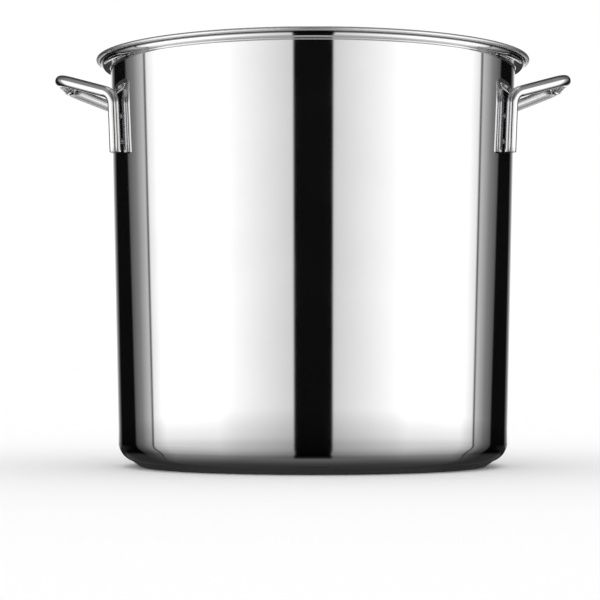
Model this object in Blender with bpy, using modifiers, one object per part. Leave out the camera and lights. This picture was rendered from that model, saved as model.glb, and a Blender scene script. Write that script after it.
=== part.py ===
"""Stock pot, 36 cm across and 36 cm tall.

A drawn stainless-steel vessel with a stepped, curled rim, a sandwich base (an aluminium
core in a pressed steel cap) and two bent-rod handles, each held on by four spot welds.
Metres, +Z up. The origin is the middle of the underside of the base, and the handles
lie along X.
"""

import math

import bmesh
import bpy
from mathutils import Vector

# Driving dimensions: radii are to the outside of the steel
HEIGHT = 0.3645
WALL_RADIUS_TOP = 0.1818
WALL_RADIUS_BOTTOM = 0.1736
SHEET = 0.0010
FLOOR_CORNER_RADIUS = 0.0178

# Rim: the wall steps out to a ledge for the lid, rises, and ends in an open curl
RIM_DEPTH = 0.0085
LEDGE_BEND_RADIUS = 0.0014
STEP_RADIUS = 0.1905
STEP_CORNER_RADIUS = 0.0035
RIM_BEND_RADIUS = 0.0008
RIM_RADIUS = 0.1945
CURL_RADIUS = 0.0012
CURL_GAP = 0.0005

# Base: a bevelled core in a cap whose rim slopes up to meet the vessel's corner
CORE_THICKNESS = 0.0034
CORE_RADIUS = 0.1600
CORE_BEVEL = 0.0058
CORE_EDGE_RADII = (0.0006, 0.0020)
CAP_SHEET = 0.0006
CAP_RADIUS = 0.1625
CAP_CORNER_RADIUS = 0.0070
CAP_SLOPE = math.radians(36)

# Handles: the legs splay downwards, and the loop narrows towards its tip
ROD_RADIUS = 0.0050
ROD_CHAMFER = 0.0006
HALF_WIDTH_BOTTOM = 0.0738
HALF_WIDTH_TOP = 0.0716
HALF_WIDTH_TIP = 0.0360
HANDLE_TIP = 0.2249
HANDLE_CORNER_RADIUS = 0.0260
HANDLE_SLOPE = math.radians(18.5)
LEG_BOTTOM = 0.2745
LEG_TOP = 0.3166
LEG_BEND_RADIUS = 0.0130

# Spot welds, two to a leg
WELD_RADIUS = 0.0022
WELD_THICKNESS = 0.0008
WELD_HEIGHTS = {"lower": 0.2845, "upper": 0.3065}

CLEARANCE = 0.0003
STEPS_AROUND = 72
ROD_BEVEL_RESOLUTION = 4
SAGITTA = 0.00008
MERGE = 0.00001

STEEL_COLOUR = (0.78, 0.78, 0.79, 1.0)
ALUMINIUM_COLOUR = (0.80, 0.81, 0.82, 1.0)
WELD_COLOUR = (0.62, 0.61, 0.60, 1.0)

FLOOR_UNDERSIDE = CAP_SHEET + CORE_THICKNESS + 2 * CLEARANCE
FLOOR_MIDDLE = FLOOR_UNDERSIDE + SHEET / 2
LEDGE_MIDDLE = HEIGHT - RIM_DEPTH + SHEET / 2


def wall_radius(z):
    """Outer radius of the tapered wall at height z."""
    share = (z - FLOOR_MIDDLE) / (LEDGE_MIDDLE - FLOOR_MIDDLE)
    return WALL_RADIUS_BOTTOM + (WALL_RADIUS_TOP - WALL_RADIUS_BOTTOM) * share


def leg_reach(z):
    """Distance from the pot's axis to a handle leg's centreline at height z."""
    return wall_radius(z) + WELD_THICKNESS + ROD_RADIUS + 2 * CLEARANCE


def leg_y(z):
    """Half the distance between a handle's two legs at height z, centreline to centreline."""
    share = (z - LEG_BOTTOM) / (LEG_TOP - LEG_BOTTOM)
    return HALF_WIDTH_BOTTOM + (HALF_WIDTH_TOP - HALF_WIDTH_BOTTOM) * share


def leg_x(z):
    """Distance along X to a handle leg's centreline at height z."""
    return math.sqrt(leg_reach(z) ** 2 - leg_y(z) ** 2)


def cap_top():
    """Height of the cap's rim, which stops just short of the vessel's rounded corner."""
    across = CAP_RADIUS - CAP_SHEET - (WALL_RADIUS_BOTTOM - FLOOR_CORNER_RADIUS)
    rise = FLOOR_CORNER_RADIUS - math.sqrt(FLOOR_CORNER_RADIUS**2 - across**2)
    return FLOOR_UNDERSIDE + rise - CLEARANCE - CAP_SHEET / 2


def clear_scene():
    for item in list(bpy.data.objects):
        bpy.data.objects.remove(item)


def make_material(name, colour, roughness, metallic):
    material = bpy.data.materials.new(name)
    material.use_nodes = True
    shader = material.node_tree.nodes["Principled BSDF"]
    shader.inputs["Base Color"].default_value = colour
    shader.inputs["Roughness"].default_value = roughness
    shader.inputs["Metallic"].default_value = metallic
    return material


def filleted(corners, radii):
    """Points along straight runs between corners, with an arc of its own radius at each bend.

    corners are 2D or 3D points; radii has one value for each corner but the two ends.
    """
    points = [Vector(corners[0])]
    for before, corner, after, radius in zip(corners, corners[1:], corners[2:], radii):
        corner = Vector(corner)
        back = (Vector(before) - corner).normalized()
        ahead = (Vector(after) - corner).normalized()
        opening = back.angle(ahead)
        turn = math.pi - opening
        tangent = radius / math.tan(opening / 2)
        centre = corner + (back + ahead).normalized() * radius / math.sin(opening / 2)
        start = corner + back * tangent - centre
        end = corner + ahead * tangent - centre
        count = math.ceil(turn / (2 * math.acos(1 - SAGITTA / radius)))
        for i in range(count + 1):
            share = i / count
            arm = start * math.sin((1 - share) * turn) + end * math.sin(share * turn)
            points.append(centre + arm / math.sin(turn))
    points.append(Vector(corners[-1]))
    return points


def add_turned(name, profile, collection, material):
    """A profile of (radius, height) points turned about Z."""
    mesh = bpy.data.meshes.new(name)
    edges = [(i, i + 1) for i in range(len(profile) - 1)]
    mesh.from_pydata([(point.x, 0, point.y) for point in profile], edges, [])
    mesh.materials.append(material)
    turned = bpy.data.objects.new(name, mesh)
    collection.objects.link(turned)
    screw = turned.modifiers.new("Turn", "SCREW")
    screw.axis = "Z"
    screw.steps = STEPS_AROUND
    screw.render_steps = STEPS_AROUND
    screw.use_merge_vertices = True
    screw.merge_threshold = MERGE
    screw.use_smooth_shade = True
    return turned


def add_turned_sheet(name, middle, thickness, collection, material):
    """Sheet metal of even thickness about a turned middle line."""
    turned = add_turned(name, middle, collection, material)
    solidify = turned.modifiers.new("Sheet", "SOLIDIFY")
    solidify.thickness = thickness
    solidify.offset = 0
    solidify.use_even_offset = True


def vessel_middle_line():
    """Floor, rounded corner, tapered wall, lid ledge, step, and the curl at the very top."""
    top = HEIGHT - SHEET / 2
    curl_bottom = top - 2 * CURL_RADIUS
    step = STEP_RADIUS - SHEET / 2
    lip = RIM_RADIUS - SHEET / 2
    corners = [
        (0, FLOOR_MIDDLE),
        (WALL_RADIUS_BOTTOM - SHEET / 2, FLOOR_MIDDLE),
        (WALL_RADIUS_TOP - SHEET / 2, LEDGE_MIDDLE),
        (step, LEDGE_MIDDLE),
        (step, top),
        (lip, top),
        (lip, curl_bottom),
        (STEP_RADIUS + CURL_GAP, curl_bottom),
    ]
    radii = [
        FLOOR_CORNER_RADIUS - SHEET / 2,
        LEDGE_BEND_RADIUS,
        STEP_CORNER_RADIUS - SHEET / 2,
        RIM_BEND_RADIUS,
        CURL_RADIUS * 0.99,
        CURL_RADIUS * 0.99,
    ]
    return filleted(corners, radii)


def build_base(collection, steel, aluminium):
    """The aluminium core disc, and the pressed steel cap that closes it in from below."""
    core_bottom = CAP_SHEET + CLEARANCE
    core_top = core_bottom + CORE_THICKNESS
    bottom_radius = CORE_RADIUS - CORE_BEVEL
    core = filleted(
        [(0, core_top), (CORE_RADIUS, core_top), (bottom_radius, core_bottom), (0, core_bottom)],
        CORE_EDGE_RADII,
    )
    add_turned("base_core", core, collection, aluminium)
    rim = CAP_RADIUS - math.sin(CAP_SLOPE) * CAP_SHEET / 2
    corner = rim - (cap_top() - CAP_SHEET / 2) / math.tan(CAP_SLOPE)
    cap = filleted(
        [(0, CAP_SHEET / 2), (corner, CAP_SHEET / 2), (rim, cap_top())],
        [CAP_CORNER_RADIUS - CAP_SHEET / 2],
    )
    add_turned_sheet("base_cap", cap, CAP_SHEET, collection, steel)


def handle_path(side):
    """Centreline of a handle: up the front leg, out and round the loop, down the rear leg."""
    foot = Vector((leg_x(LEG_BOTTOM), -leg_y(LEG_BOTTOM), LEG_BOTTOM))
    top = Vector((leg_x(LEG_TOP), -leg_y(LEG_TOP), LEG_TOP))
    knee_rise = LEG_BEND_RADIUS * math.tan((math.pi / 2 - HANDLE_SLOPE) / 2)
    knee = foot.lerp(top, 1 + knee_rise / (LEG_TOP - LEG_BOTTOM))
    tip_z = knee.z + (HANDLE_TIP - knee.x) * math.tan(HANDLE_SLOPE)
    front = [tuple(foot), tuple(knee), (HANDLE_TIP, -HALF_WIDTH_TIP, tip_z)]
    rear = [(x, -y, z) for x, y, z in reversed(front)]
    radii = [LEG_BEND_RADIUS, HANDLE_CORNER_RADIUS, HANDLE_CORNER_RADIUS, LEG_BEND_RADIUS]
    return [Vector((side * point.x, point.y, point.z)) for point in filleted(front + rear, radii)]


def add_rod(name, path, collection, material):
    """A round rod along a path, with its two ends chamfered."""
    first = path[0] + (path[1] - path[0]).normalized() * ROD_CHAMFER
    last = path[-1] + (path[-2] - path[-1]).normalized() * ROD_CHAMFER
    path = [path[0], first] + path[1:-1] + [last, path[-1]]
    curve = bpy.data.curves.new(name, "CURVE")
    curve.dimensions = "3D"
    curve.bevel_depth = ROD_RADIUS
    curve.bevel_resolution = ROD_BEVEL_RESOLUTION
    curve.use_fill_caps = True
    curve.materials.append(material)
    spline = curve.splines.new("POLY")
    spline.points.add(len(path) - 1)
    for target, point in zip(spline.points, path):
        target.co = (*point, 1)
    for end in (spline.points[0], spline.points[-1]):
        end.radius = 1 - ROD_CHAMFER / ROD_RADIUS
    spline.use_smooth = True
    collection.objects.link(bpy.data.objects.new(name, curve))


def add_weld(name, side, end, height, collection, material):
    """A spot weld: a disc between the wall and a handle leg, on the line that joins them."""
    angle = math.asin(leg_y(height) / leg_reach(height))
    outwards = Vector((side * math.cos(angle), end * math.sin(angle), 0))
    mesh = bpy.data.meshes.new(name)
    shape = bmesh.new()
    bmesh.ops.create_cone(
        shape, cap_ends=True, segments=16, radius1=WELD_RADIUS, radius2=WELD_RADIUS, depth=WELD_THICKNESS
    )
    shape.to_mesh(mesh)
    shape.free()
    mesh.materials.append(material)
    disc = bpy.data.objects.new(name, mesh)
    collection.objects.link(disc)
    reach = wall_radius(height) + CLEARANCE + WELD_THICKNESS / 2
    disc.location = outwards * reach + Vector((0, 0, height))
    disc.rotation_mode = "QUATERNION"
    disc.rotation_quaternion = outwards.to_track_quat("Z", "Y")


def build_handles(collection, steel, weld):
    for side, side_name in ((-1, "left"), (1, "right")):
        add_rod(f"handle_{side_name}", handle_path(side), collection, steel)
        for end, end_name in ((-1, "front"), (1, "rear")):
            for level, height in WELD_HEIGHTS.items():
                add_weld(f"weld_{side_name}_{end_name}_{level}", side, end, height, collection, weld)


def main():
    clear_scene()
    collection = bpy.data.collections.new("stock_pot")
    bpy.context.scene.collection.children.link(collection)
    steel = make_material("polished_steel", STEEL_COLOUR, 0.08, 1.0)
    aluminium = make_material("aluminium", ALUMINIUM_COLOUR, 0.45, 1.0)
    weld = make_material("weld_steel", WELD_COLOUR, 0.35, 1.0)
    add_turned_sheet("pot_body", vessel_middle_line(), SHEET, collection, steel)
    build_base(collection, steel, aluminium)
    build_handles(collection, steel, weld)


main()
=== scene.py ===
"""Stock pot: the visible surfaces, the studio and the camera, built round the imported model."""

import math

import bmesh
import bpy
from mathutils import Matrix, Vector


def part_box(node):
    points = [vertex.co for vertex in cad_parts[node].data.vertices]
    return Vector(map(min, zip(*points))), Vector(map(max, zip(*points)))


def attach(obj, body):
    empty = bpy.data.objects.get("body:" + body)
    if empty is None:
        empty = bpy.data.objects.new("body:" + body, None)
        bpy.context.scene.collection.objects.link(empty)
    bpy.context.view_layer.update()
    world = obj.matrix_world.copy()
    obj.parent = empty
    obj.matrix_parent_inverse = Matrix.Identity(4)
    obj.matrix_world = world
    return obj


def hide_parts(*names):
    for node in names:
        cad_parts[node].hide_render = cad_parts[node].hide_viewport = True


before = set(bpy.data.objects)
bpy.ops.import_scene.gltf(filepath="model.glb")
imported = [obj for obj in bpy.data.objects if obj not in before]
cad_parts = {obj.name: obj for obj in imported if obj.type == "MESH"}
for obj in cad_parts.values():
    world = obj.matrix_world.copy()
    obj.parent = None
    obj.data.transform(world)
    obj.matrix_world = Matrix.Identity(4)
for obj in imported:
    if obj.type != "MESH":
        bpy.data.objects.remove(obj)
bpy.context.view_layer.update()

BODY = "root"

# Vessel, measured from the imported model; radii are to the outside of the steel
VESSEL_LOW, VESSEL_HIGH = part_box("pot_body")
HEIGHT = VESSEL_HIGH.z
RIM_RADIUS = VESSEL_HIGH.x
FLOOR_UNDERSIDE = VESSEL_LOW.z
CAP_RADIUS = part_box("base_cap")[1].x

SHEET = 0.0010
WALL_RADIUS_TOP = 0.1818
WALL_RADIUS_BOTTOM = 0.1736
FLOOR_CORNER_RADIUS = 0.0178
RIM_DEPTH = 0.0085
LEDGE_BEND_RADIUS = 0.0014
STEP_RADIUS = RIM_RADIUS - 0.0040
STEP_CORNER_RADIUS = 0.0035
RIM_BEND_RADIUS = 0.0008
CURL_RADIUS = 0.0012
CURL_GAP = 0.0005
CAP_SHEET = 0.0006
CAP_CORNER_RADIUS = 0.0070
CAP_SLOPE = math.radians(36)
RIM_SINK = 0.0001    # how far the cap's edge runs into the vessel

# Painted shade: a dark band painted on the steel in the hollow under the curl, where shade falls; distances
# below the rim at which it starts and ends
GROOVE_SHADE = (0.0018, 0.0025, 0.0042, 0.0050)
GROOVE_SHADE_COLOUR = (0.12, 0.12, 0.125, 1)

# Handles
ROD_RADIUS = 0.0050
ROD_CHAMFER = 0.0006
HALF_WIDTH_BOTTOM = 0.0738
HALF_WIDTH_TOP = 0.0716
HALF_WIDTH_TIP = 0.0360
HANDLE_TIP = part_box("handle_right")[1].x - ROD_RADIUS
HANDLE_CORNER_RADIUS = 0.0260
HANDLE_SLOPE = math.radians(18.5)
LEG_BOTTOM = 0.2745
LEG_TOP = 0.3166
LEG_BEND_RADIUS = 0.0130
WELD_HEIGHTS = {"lower": 0.2845, "upper": 0.3065}
WELD_THICKNESS = 0.0014    # the whole space between wall and rod

# Studio: brightness at each angle round from the front, in degrees, alike on the left and the right.
# A pair of angles is the two sides of a soft edge: BACKDROP_START is round, the others are elevations.
BLACK = 0.003
STUDIO = (
    (0.0, BLACK),     # the dark gap between the two front panels
    (10.4, BLACK),
    (11.4, 0.60),     # front panels, a little dimmer towards the gap
    (45.0, 0.95),
    (56.0, 1.12),     # side panels, at full brightness
    (94.0, 1.12),
    (106.7, 0.75),
    (107.9, 0.08),    # the seam where a rear reflector starts
    (108.7, 0.08),
    (110.1, 0.48),
    (120.0, 0.19),
    (129.0, 0.09),
    (131.0, BLACK),   # black flags that edge the reflections
    (152.0, BLACK),
    (158.0, 0.16),
    (164.0, 0.50),
    (171.0, 1.00),    # the white backdrop
    (180.0, 1.00),
)
CEILING = ((0, 0.06), (30, 0.15), (50, 0.25), (98, 0.20), (125, 0.10), (150, 0.04), (180, 0.04))
OVERHEAD = 0.90
OVERHEAD_START = (74.0, 84.0)
NADIR = 0.90
PANEL_BOTTOM = (-66.0, -54.0)
PANEL_TOP = (14.0, 26.0)
BACKDROP_START = (138.0, 156.0)
BACKDROP_BOTTOM = (-6.5, -4.5)
BACKDROP_TOP = (9.5, 12.0)
BACKDROP_FOOT = (-13.5, -11.0)    # below this the backdrop is lit again
BACKDROP_RAISE = 30.0
BACKDROP_EDGE = 0.035
STUDIO_STRENGTH = 1.30
STUDIO_TURN = -0.3    # degrees that the studio is turned against the camera

# How far the rear reflector and the flags beside it lean, in degrees round for each degree up
LEAN = 0.54
LEAN_START = 90.0
LEAN_PEAK = 130.0
LEAN_END = 152.0
LEAN_UPRIGHT = 5.0
LEAN_SPAN = (-4.0, 12.0)

# Below the first of these elevations the panels curve in under the pot, above the second they stand
FOLD_SPAN = (-44.0, -19.0)

# How much of the studio's light the dark hob round the pot gives back, by distance from the axis. The hob is
# a disc seen only in reflections, and its darkening next to the pot is painted shade that stands in for the
# pot's shadow on it
HOB_RADIUS = 1.00
HOB_SHADE = (
    (0.0, 0.01),
    (0.162, 0.01),
    (0.1665, 0.02),
    (0.170, 0.043),
    (0.1748, 0.073),
    (0.180, 0.115),
    (0.187, 0.17),
    (0.196, 0.275),
    (0.212, 0.345),
    (0.252, 0.435),
    (0.435, 0.49),
    (0.50, 0.55),
    (0.57, 0.70),
    (0.65, 0.75),
    (1.00, 1.00),
)
# Painted light: the hob gives off a faint glow near the pot, though it is no lamp
HOB_GLOW = ((0.0, 0.028), (0.179, 0.028), (0.190, 0.0))
FLOOR_COLOUR = 0.90

# Camera
CAMERA_DISTANCE = 1.850
CAMERA_HEIGHT = 0.0902
CAMERA_PITCH = math.radians(1.817)
CAMERA_YAW = math.radians(0.357)
FOCAL_LENGTH_IN_FRAMES = 3.428

# Mesh fineness
STEPS_AROUND = 288
SAGITTA = 0.000004
LONGEST_RUN = 0.016
SUPPORT = 0.0006
MERGE = 0.000002

FLOOR_MIDDLE = FLOOR_UNDERSIDE + SHEET / 2
LEDGE_MIDDLE = HEIGHT - RIM_DEPTH + SHEET / 2


def wall_radius(z):
    """Outer radius of the tapered wall at height z."""
    share = (z - FLOOR_MIDDLE) / (LEDGE_MIDDLE - FLOOR_MIDDLE)
    return WALL_RADIUS_BOTTOM + (WALL_RADIUS_TOP - WALL_RADIUS_BOTTOM) * share


def leg_reach(z):
    """Distance from the pot's axis to a handle leg's centreline at height z."""
    return wall_radius(z) + WELD_THICKNESS + ROD_RADIUS


def leg_y(z):
    """Half the distance between a handle's two legs at height z, centreline to centreline."""
    share = (z - LEG_BOTTOM) / (LEG_TOP - LEG_BOTTOM)
    return HALF_WIDTH_BOTTOM + (HALF_WIDTH_TOP - HALF_WIDTH_BOTTOM) * share


def leg_x(z):
    """Distance along X to a handle leg's centreline at height z."""
    return math.sqrt(leg_reach(z) ** 2 - leg_y(z) ** 2)


# Shapes


def run(start, end):
    """Points between the ends of a straight run, with one close to each end to hold it flat."""
    length = (end - start).length
    if length < 3 * SUPPORT:
        return []
    count = math.ceil(length / LONGEST_RUN)
    shares = [SUPPORT / length] + [i / count for i in range(1, count)] + [1 - SUPPORT / length]
    return [start.lerp(end, share) for share in shares]


def filleted(corners, radii):
    """Points along straight runs between corners, with an arc of its own radius at each bend."""
    points = [Vector(corners[0])]
    for before, corner, after, radius in zip(corners, corners[1:], corners[2:], radii):
        corner = Vector(corner)
        back = (Vector(before) - corner).normalized()
        ahead = (Vector(after) - corner).normalized()
        opening = back.angle(ahead)
        turn = math.pi - opening
        tangent = radius / math.tan(opening / 2)
        centre = corner + (back + ahead).normalized() * radius / math.sin(opening / 2)
        start = corner + back * tangent - centre
        end = corner + ahead * tangent - centre
        points += run(points[-1], centre + start)
        count = math.ceil(turn / (2 * math.acos(1 - SAGITTA / radius)))
        for i in range(count + 1):
            share = i / count
            arm = start * math.sin((1 - share) * turn) + end * math.sin(share * turn)
            points.append(centre + arm / math.sin(turn))
    last = Vector(corners[-1])
    return points + run(points[-1], last) + [last]


def add_object(name, data, materials, slot, *nodes):
    """Links an object, gives it its materials, and stands it in for CAD nodes."""
    piece = bpy.data.objects.new(name, data)
    bpy.context.scene.collection.objects.link(piece)
    for material in materials:
        data.materials.append(material)
    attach(piece, BODY)
    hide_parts(*nodes)
    return piece


def turned_sheet(name, middle, thickness, materials, slot, node):
    """Sheet metal about a turned middle line: the first material outside, the second inside."""
    mesh = bpy.data.meshes.new(name)
    edges = [(i, i + 1) for i in range(len(middle) - 1)]
    mesh.from_pydata([(point.x, 0, point.y) for point in middle], edges, [])
    piece = add_object(name, mesh, materials, slot, node)
    screw = piece.modifiers.new("Turn", "SCREW")
    screw.axis = "Z"
    screw.steps = STEPS_AROUND
    screw.render_steps = STEPS_AROUND
    screw.use_merge_vertices = True
    screw.merge_threshold = MERGE
    screw.use_normal_flip = True
    screw.use_smooth_shade = True
    solidify = piece.modifiers.new("Sheet", "SOLIDIFY")
    solidify.thickness = thickness
    solidify.offset = 0
    solidify.use_even_offset = True
    solidify.material_offset = 1
    return piece


def build_vessel(materials):
    top = HEIGHT - SHEET / 2
    curl_bottom = top - 2 * CURL_RADIUS
    step = STEP_RADIUS - SHEET / 2
    lip = RIM_RADIUS - SHEET / 2
    corners = [
        (0, FLOOR_MIDDLE),
        (WALL_RADIUS_BOTTOM - SHEET / 2, FLOOR_MIDDLE),
        (WALL_RADIUS_TOP - SHEET / 2, LEDGE_MIDDLE),
        (step, LEDGE_MIDDLE),
        (step, top),
        (lip, top),
        (lip, curl_bottom),
        (STEP_RADIUS + CURL_GAP, curl_bottom),
    ]
    radii = [
        FLOOR_CORNER_RADIUS - SHEET / 2,
        LEDGE_BEND_RADIUS,
        STEP_CORNER_RADIUS - SHEET / 2,
        RIM_BEND_RADIUS,
        CURL_RADIUS * 0.99,
        CURL_RADIUS * 0.99,
    ]
    turned_sheet("vessel", filleted(corners, radii), SHEET, materials, "polished_steel", "pot_body")


def build_base_cap(materials):
    """The pressed cap, its rim welded all round to the vessel's corner."""
    rim = CAP_RADIUS - math.sin(CAP_SLOPE) * CAP_SHEET / 2
    across = CAP_RADIUS - (WALL_RADIUS_BOTTOM - FLOOR_CORNER_RADIUS)
    rise = FLOOR_CORNER_RADIUS - math.sqrt(FLOOR_CORNER_RADIUS**2 - across**2)
    top = FLOOR_UNDERSIDE + rise + math.cos(CAP_SLOPE) * CAP_SHEET / 2 + RIM_SINK
    corner = rim - (top - CAP_SHEET / 2) / math.tan(CAP_SLOPE)
    middle = filleted(
        [(0, CAP_SHEET / 2), (corner, CAP_SHEET / 2), (rim, top)], [CAP_CORNER_RADIUS - CAP_SHEET / 2]
    )
    turned_sheet("base_pan", middle, CAP_SHEET, materials, "polished_steel", "base_cap")


def handle_path(side):
    """Centreline of a handle: up the front leg, out and round the loop, down the rear leg."""
    foot = Vector((leg_x(LEG_BOTTOM), -leg_y(LEG_BOTTOM), LEG_BOTTOM))
    top = Vector((leg_x(LEG_TOP), -leg_y(LEG_TOP), LEG_TOP))
    knee_rise = LEG_BEND_RADIUS * math.tan((math.pi / 2 - HANDLE_SLOPE) / 2)
    knee = foot.lerp(top, 1 + knee_rise / (LEG_TOP - LEG_BOTTOM))
    tip_z = knee.z + (HANDLE_TIP - knee.x) * math.tan(HANDLE_SLOPE)
    front = [tuple(foot), tuple(knee), (HANDLE_TIP, -HALF_WIDTH_TIP, tip_z)]
    rear = [(x, -y, z) for x, y, z in reversed(front)]
    radii = [LEG_BEND_RADIUS, HANDLE_CORNER_RADIUS, HANDLE_CORNER_RADIUS, LEG_BEND_RADIUS]
    return [Vector((side * point.x, point.y, point.z)) for point in filleted(front + rear, radii)]


def build_handle(name, side, material, node):
    path = handle_path(side)
    first = path[0].lerp(path[1], ROD_CHAMFER / (path[1] - path[0]).length)
    last = path[-1].lerp(path[-2], ROD_CHAMFER / (path[-2] - path[-1]).length)
    path = [path[0], first] + path[2:-2] + [last, path[-1]]
    curve = bpy.data.curves.new(name, "CURVE")
    curve.dimensions = "3D"
    curve.bevel_depth = ROD_RADIUS
    curve.bevel_resolution = 10
    curve.use_fill_caps = True
    spline = curve.splines.new("POLY")
    spline.points.add(len(path) - 1)
    for target, point in zip(spline.points, path):
        target.co = (*point, 1)
    for end in (spline.points[0], spline.points[-1]):
        end.radius = 1 - ROD_CHAMFER / ROD_RADIUS
    spline.use_smooth = True
    add_object(name, curve, [material], "polished_steel", node)


def weld_outwards(side, end, height):
    """The level direction from the pot's axis through a weld."""
    angle = math.asin(leg_y(height) / leg_reach(height))
    return Vector((side * math.cos(angle), end * math.sin(angle), 0))


def build_weld(name, side, end, height, material, node):
    """A weld nugget: a waisted bead that runs a little way into the wall and the rod."""
    sink = 0.0004
    length = WELD_THICKNESS + 2 * sink
    profile = filleted(
        [(0, length), (0.0027, length), (0.0019, length / 2), (0.0030, 0), (0, 0)],
        [0.0002, 0.0006, 0.0002],
    )
    mesh = bpy.data.meshes.new(name)
    edges = [(i, i + 1) for i in range(len(profile) - 1)]
    mesh.from_pydata([(point.x, 0, point.y) for point in profile], edges, [])
    shape = bmesh.new()
    shape.from_mesh(mesh)
    bmesh.ops.spin(
        shape, geom=shape.verts[:] + shape.edges[:], axis=(0, 0, 1), angle=math.tau, steps=32, use_merge=True
    )
    bmesh.ops.remove_doubles(shape, verts=shape.verts, dist=MERGE)
    bmesh.ops.recalc_face_normals(shape, faces=shape.faces)
    outwards = weld_outwards(side, end, height)
    place = Matrix.Translation(outwards * (wall_radius(height) - sink) + Vector((0, 0, height)))
    shape.transform(place @ outwards.to_track_quat("Z", "Y").to_matrix().to_4x4())
    shape.to_mesh(mesh)
    shape.free()
    mesh.shade_smooth()
    add_object(name, mesh, [material], "weld_steel", node)


# Materials


def add(tree, kind, inputs=None, **settings):
    """A shader node with its settings, its input values and, where a value is a socket, its links."""
    node = tree.nodes.new(kind)
    for key, value in settings.items():
        setattr(node, key, value)
    for key, value in (inputs or {}).items():
        if isinstance(value, bpy.types.NodeSocket):
            tree.links.new(value, node.inputs[key])
        else:
            node.inputs[key].default_value = value
    return node


def calc(tree, operation, a, b=0.0, c=0.0):
    return add(tree, "ShaderNodeMath", {0: a, 1: b, 2: c}, operation=operation).outputs[0]


def rescale(tree, value, low, high, new_low, new_high):
    """value's range low to high, taken to new_low to new_high and held there."""
    inputs = {"Value": value, "From Min": low, "From Max": high, "To Min": new_low, "To Max": new_high}
    return add(tree, "ShaderNodeMapRange", inputs).outputs[0]


def combine(tree, x, y, z):
    return add(tree, "ShaderNodeCombineXYZ", {"X": x, "Y": y, "Z": z}).outputs[0]


def noise(tree, vector, scale, detail=2.0):
    inputs = {"Vector": vector, "Scale": scale, "Detail": detail}
    return add(tree, "ShaderNodeTexNoise", inputs).outputs["Fac"]


def blend(tree, share, first, second):
    """A colour that goes from first to second as share goes from 0 to 1."""
    return add(tree, "ShaderNodeMix", {"Factor": share, 6: first, 7: second}, data_type="RGBA").outputs[2]


def colour_ramp(tree, value, stops):
    """stops are (place from 0 to 1, RGB colour or grey)."""
    node = add(tree, "ShaderNodeValToRGB", {"Fac": value})
    elements = node.color_ramp.elements
    while len(elements) < len(stops):
        elements.new(0.5)
    for element, (place, colour) in zip(elements, stops):
        element.position = place
        element.color = (*colour, 1) if isinstance(colour, tuple) else (colour, colour, colour, 1)
    return node.outputs["Color"]


def new_material(name):
    material = bpy.data.materials.new(name)
    material.use_nodes = True
    tree = material.node_tree
    shader = tree.nodes["Principled BSDF"]
    shader.inputs["Metallic"].default_value = 1.0
    return material, tree, shader


def round_axis(tree):
    """Position on the object as height, angle round the axis in radians, and distance from it."""
    position = add(tree, "ShaderNodeTexCoord").outputs["Object"]
    split = add(tree, "ShaderNodeSeparateXYZ", {"Vector": position})
    x, y, z = split.outputs
    angle = calc(tree, "ARCTAN2", y, x)
    radius = calc(tree, "SQRT", calc(tree, "ADD", calc(tree, "MULTIPLY", x, x), calc(tree, "MULTIPLY", y, y)))
    return position, z, angle, radius


def set_bump(tree, shader, height, distance, strength=1.0):
    inputs = {"Height": height, "Distance": distance, "Strength": strength}
    bump = add(tree, "ShaderNodeBump", inputs)
    tree.links.new(bump.outputs["Normal"], shader.inputs["Normal"])


def mirror_steel():
    """Outside of the vessel: mirror-polished, with faint bands, a slight ripple and painted shade in a band
    under the curl.
    """
    material, tree, shader = new_material("mirror_steel")
    position, z, angle, radius = round_axis(tree)
    lines = noise(tree, combine(tree, calc(tree, "MULTIPLY", angle, 0.02), radius, z), 900.0, 3.0)
    smudges = noise(tree, position, 22.0, 4.0)
    wear = calc(tree, "ADD", calc(tree, "MULTIPLY", lines, 0.4), calc(tree, "MULTIPLY", smudges, 0.6))
    tree.links.new(rescale(tree, wear, 0.3, 0.7, 0.035, 0.060), shader.inputs["Roughness"])
    tint = colour_ramp(tree, smudges, ((0.3, (0.775, 0.775, 0.785)), (0.7, (0.80, 0.80, 0.805))))
    # Painted shade: the steel is coloured dark in a band under the curl, standing in for shade in the hollow
    # there
    below_roll = rescale(tree, z, HEIGHT - GROOVE_SHADE[0], HEIGHT - GROOVE_SHADE[1], 0.0, 1.0)
    above_bead = rescale(tree, z, HEIGHT - GROOVE_SHADE[3], HEIGHT - GROOVE_SHADE[2], 0.0, 1.0)
    painted_groove_shade = calc(tree, "MULTIPLY", below_roll, above_bead)
    tint = blend(tree, painted_groove_shade, tint, GROOVE_SHADE_COLOUR)
    tree.links.new(tint, shader.inputs["Base Color"])
    ripple = noise(tree, position, 6.0, 0.0)
    height = calc(tree, "ADD", ripple, calc(tree, "MULTIPLY", lines, 0.01))
    set_bump(tree, shader, height, 0.00002)
    return material


def satin_steel():
    """Inside of the vessel: satin, brushed round and round."""
    material, tree, shader = new_material("satin_steel")
    position, z, angle, radius = round_axis(tree)
    ring = combine(tree, calc(tree, "MULTIPLY", angle, 0.004), radius, z)
    lines = noise(tree, ring, 1400.0, 4.0)
    bands = noise(tree, ring, 160.0, 2.0)
    smudges = noise(tree, position, 16.0, 5.0)
    grain = calc(tree, "ADD", calc(tree, "MULTIPLY", lines, 0.6), calc(tree, "MULTIPLY", bands, 0.4))
    tree.links.new(rescale(tree, grain, 0.25, 0.75, 0.24, 0.40), shader.inputs["Roughness"])
    shade = calc(tree, "ADD", calc(tree, "MULTIPLY", grain, 0.6), calc(tree, "MULTIPLY", smudges, 0.4))
    tint = colour_ramp(tree, shade, ((0.25, (0.74, 0.74, 0.75)), (0.75, (0.86, 0.86, 0.865))))
    tree.links.new(tint, shader.inputs["Base Color"])
    set_bump(tree, shader, grain, 0.00006)
    return material


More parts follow.
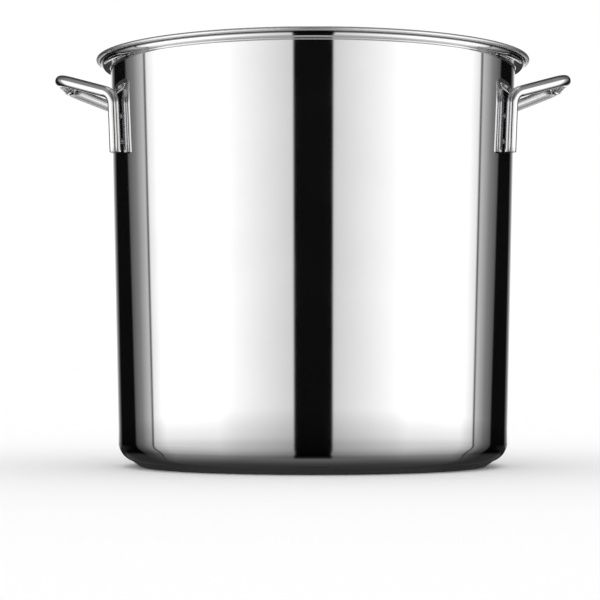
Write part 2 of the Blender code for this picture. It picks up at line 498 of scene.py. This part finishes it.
def rod_steel():
    """Handle rod: polished, with soft scuffs and patches all over."""
    material, tree, shader = new_material("rod_steel")
    position = add(tree, "ShaderNodeTexCoord").outputs["Object"]
    scuffs = noise(tree, position, 130.0, 5.0)
    patches = noise(tree, position, 30.0, 2.0)
    wear = calc(tree, "ADD", calc(tree, "MULTIPLY", scuffs, 0.5), calc(tree, "MULTIPLY", patches, 0.5))
    tree.links.new(rescale(tree, wear, 0.3, 0.7, 0.08, 0.20), shader.inputs["Roughness"])
    tint = colour_ramp(tree, patches, ((0.3, (0.72, 0.72, 0.73)), (0.7, (0.80, 0.80, 0.805))))
    tree.links.new(tint, shader.inputs["Base Color"])
    set_bump(tree, shader, scuffs, 0.00001)
    return material


def weld_metal():
    """Weld nuggets: bare cast metal with straw and blue heat tints."""
    material, tree, shader = new_material("weld_metal")
    position = add(tree, "ShaderNodeTexCoord").outputs["Object"]
    grain = noise(tree, position, 900.0, 4.0)
    tint = colour_ramp(
        tree, grain, ((0.35, (0.30, 0.31, 0.35)), (0.5, (0.42, 0.41, 0.40)), (0.65, (0.46, 0.43, 0.38)))
    )
    tree.links.new(tint, shader.inputs["Base Color"])
    tree.links.new(rescale(tree, grain, 0.3, 0.7, 0.30, 0.50), shader.inputs["Roughness"])
    set_bump(tree, shader, grain, 0.0002)
    return material


def spun_steel():
    """Underside of the base: faced on a lathe, so it has fine rings, and browned a little by heat."""
    material, tree, shader = new_material("spun_steel")
    position, z, angle, radius = round_axis(tree)
    rings = noise(tree, combine(tree, calc(tree, "MULTIPLY", angle, 0.003), radius, z), 1100.0, 3.0)
    heat = noise(tree, position, 14.0, 4.0)
    tree.links.new(rescale(tree, rings, 0.3, 0.7, 0.18, 0.36), shader.inputs["Roughness"])
    tint = colour_ramp(
        tree, heat, ((0.3, (0.70, 0.70, 0.71)), (0.55, (0.66, 0.65, 0.63)), (0.75, (0.60, 0.56, 0.50)))
    )
    tree.links.new(tint, shader.inputs["Base Color"])
    set_bump(tree, shader, rings, 0.0001)
    return material


def sheet_aluminium():
    """The core inside the base: mill-finish aluminium with rolling grain along X."""
    material, tree, shader = new_material("sheet_aluminium")
    position = add(tree, "ShaderNodeTexCoord").outputs["Object"]
    stretched = add(tree, "ShaderNodeMapping", {"Vector": position, "Scale": (0.03, 1.0, 1.0)}).outputs[0]
    grain = noise(tree, stretched, 900.0, 3.0)
    tint = colour_ramp(tree, grain, ((0.3, (0.72, 0.73, 0.74)), (0.7, (0.84, 0.85, 0.86))))
    tree.links.new(tint, shader.inputs["Base Color"])
    tree.links.new(rescale(tree, grain, 0.3, 0.7, 0.34, 0.50), shader.inputs["Roughness"])
    set_bump(tree, shader, grain, 0.00005)
    return material


# Studio


def only_seen_in_reflections(thing):
    thing.visible_camera = False
    thing.visible_diffuse = False
    thing.visible_transmission = False
    thing.visible_volume_scatter = False
    thing.visible_shadow = False


def disc(name, radius, height, material):
    mesh = bpy.data.meshes.new(name)
    shape = bmesh.new()
    bmesh.ops.create_circle(shape, cap_ends=True, segments=96, radius=radius)
    shape.to_mesh(mesh)
    shape.free()
    mesh.materials.append(material)
    thing = bpy.data.objects.new(name, mesh)
    thing.location.z = height
    bpy.context.scene.collection.objects.link(thing)
    return thing


def build_floor():
    """A plain pale floor, left out of reflections, which show the studio and a dark hob instead."""
    pale, tree, shader = new_material("pale_floor")
    shader.inputs["Metallic"].default_value = 0.0
    shader.inputs["Roughness"].default_value = 0.9
    shader.inputs["Specular IOR Level"].default_value = 0.0
    shader.inputs["Base Color"].default_value = (FLOOR_COLOUR, FLOOR_COLOUR, FLOOR_COLOUR, 1)
    floor = disc("floor", 60.0, 0.0, pale)
    floor.visible_glossy = False

    # Painted shade in reflections: a clear disc that dims the studio round the pot, darkest next to it, with
    # a faint painted glow
    shade = bpy.data.materials.new("hob_shade")
    shade.use_nodes = True
    tree = shade.node_tree
    tree.nodes.clear()
    position, z, angle, radius = round_axis(tree)
    out = calc(tree, "DIVIDE", radius, HOB_RADIUS)
    dimming, glow = (
        colour_ramp(tree, out, [(place / HOB_RADIUS, grey) for place, grey in stops])
        for stops in (HOB_SHADE, HOB_GLOW)
    )
    clear = add(tree, "ShaderNodeBsdfTransparent", {"Color": dimming})
    grey = add(tree, "ShaderNodeEmission", {"Color": glow})
    both = add(tree, "ShaderNodeAddShader", {0: clear.outputs[0], 1: grey.outputs[0]})
    add(tree, "ShaderNodeOutputMaterial", {"Surface": both.outputs[0]})
    only_seen_in_reflections(disc("hob_shade", HOB_RADIUS, -0.0005, shade))


def by_direction(tree, around, stops, peak):
    """A grey for each angle round from the camera, as a share of the brightest."""
    return colour_ramp(tree, around, [(angle / 180, grey / peak) for angle, grey in stops])


def build_world():
    """Plain light for the floor and the background; reflections show panels, flags and a seam."""
    world = bpy.data.worlds.new("studio")
    bpy.context.scene.world = world
    world.use_nodes = True
    tree = world.node_tree
    tree.nodes.clear()
    direction = add(tree, "ShaderNodeTexCoord").outputs["Generated"]
    x, y, z = add(tree, "ShaderNodeSeparateXYZ", {"Vector": direction}).outputs
    heading = calc(tree, "ARCTAN2", x, calc(tree, "MULTIPLY", y, -1.0))
    around = calc(tree, "ABSOLUTE", calc(tree, "ADD", calc(tree, "DEGREES", heading), STUDIO_TURN))
    elevation = calc(tree, "DEGREES", calc(tree, "ARCSINE", z))
    folded = calc(tree, "ARCTAN2", calc(tree, "ABSOLUTE", x), calc(tree, "SUBTRACT", 1.0, y))
    folded = calc(tree, "DEGREES", calc(tree, "MULTIPLY", folded, 2.0))
    steep = rescale(tree, elevation, *FOLD_SPAN, 1.0, 0.0)
    fold = calc(tree, "MULTIPLY", steep, calc(tree, "SUBTRACT", folded, around))
    around = calc(tree, "ADD", around, fold)
    lean = calc(
        tree,
        "MULTIPLY",
        rescale(tree, around, LEAN_START, LEAN_PEAK, 0.0, LEAN),
        rescale(tree, around, LEAN_PEAK, LEAN_END, 1.0, 0.0),
    )
    level = rescale(tree, elevation, *LEAN_SPAN, LEAN_SPAN[0] - LEAN_UPRIGHT, LEAN_SPAN[1] - LEAN_UPRIGHT)
    around = calc(tree, "DIVIDE", calc(tree, "SUBTRACT", around, calc(tree, "MULTIPLY", lean, level)), 180.0)
    peak = max(grey for _, grey in STUDIO)
    panels = by_direction(tree, around, STUDIO, peak)
    ceiling = by_direction(tree, around, CEILING, peak)
    behind = rescale(tree, around, BACKDROP_START[0] / 180, BACKDROP_START[1] / 180, 0.0, 1.0)
    within = calc(
        tree,
        "MULTIPLY",
        rescale(tree, elevation, *BACKDROP_BOTTOM, 0.0, 1.0),
        rescale(tree, elevation, *BACKDROP_TOP, 1.0, 0.0),
    )
    within = calc(tree, "ADD", within, rescale(tree, elevation, *BACKDROP_FOOT, 1.0, 0.0))
    flagged = calc(tree, "MULTIPLY", behind, calc(tree, "SUBTRACT", 1.0, within))
    edge = (BACKDROP_EDGE / peak, BACKDROP_EDGE / peak, BACKDROP_EDGE / peak, 1)
    panels = blend(tree, flagged, panels, edge)
    raised = calc(tree, "SUBTRACT", elevation, calc(tree, "MULTIPLY", behind, BACKDROP_RAISE))
    above = rescale(tree, raised, *PANEL_BOTTOM, 0.0, 1.0)
    below = rescale(tree, elevation, *PANEL_TOP, 1.0, 0.0)
    overhead = rescale(tree, elevation, *OVERHEAD_START, 0.0, 1.0)
    nadir = (NADIR / peak, NADIR / peak, NADIR / peak, 1)
    softbox = (OVERHEAD / peak, OVERHEAD / peak, OVERHEAD / peak, 1)
    ceiling = blend(tree, overhead, ceiling, softbox)
    whole = blend(tree, below, ceiling, blend(tree, above, nadir, panels))
    strength = STUDIO_STRENGTH * peak
    reflected = add(tree, "ShaderNodeBackground", {"Color": whole, "Strength": strength})
    white = (1, 1, 1, 1)
    backdrop = add(tree, "ShaderNodeBackground", {"Color": white, "Strength": 1.0})
    lighting = add(tree, "ShaderNodeBackground", {"Color": white, "Strength": 1.0 / FLOOR_COLOUR})
    ray = add(tree, "ShaderNodeLightPath")
    plain = add(
        tree,
        "ShaderNodeMixShader",
        {0: ray.outputs["Is Camera Ray"], 1: lighting.outputs[0], 2: backdrop.outputs[0]},
    )
    final = add(
        tree,
        "ShaderNodeMixShader",
        {0: ray.outputs["Is Glossy Ray"], 1: plain.outputs[0], 2: reflected.outputs[0]},
    )
    add(tree, "ShaderNodeOutputWorld", {"Surface": final.outputs[0]})
    world.cycles.sampling_method = "MANUAL"
    world.cycles.sample_map_resolution = 2048


def build_camera():
    data = bpy.data.cameras.new("camera")
    data.lens = data.sensor_width * FOCAL_LENGTH_IN_FRAMES
    camera = bpy.data.objects.new("camera", data)
    bpy.context.scene.collection.objects.link(camera)
    camera.location = (0, -CAMERA_DISTANCE, CAMERA_HEIGHT)
    camera.rotation_euler = (math.pi / 2 + CAMERA_PITCH, 0, CAMERA_YAW)
    bpy.context.scene.camera = camera


def build_pot():
    mirror, satin, rod = mirror_steel(), satin_steel(), rod_steel()
    build_vessel([mirror, satin])
    build_base_cap([spun_steel(), satin])
    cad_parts["base_core"].material_slots[0].material = sheet_aluminium()
    weld = weld_metal()
    for side, side_name in ((-1, "left"), (1, "right")):
        build_handle(f"rod_{side_name}", side, rod, f"handle_{side_name}")
        for end, end_name in ((-1, "front"), (1, "rear")):
            for level, height in WELD_HEIGHTS.items():
                place = f"{side_name}_{end_name}_{level}"
                build_weld(f"nugget_{place}", side, end, height, weld, f"weld_{place}")


build_camera()
build_world()
build_floor()
build_pot()
bpy.context.scene.view_settings.view_transform = "Standard"
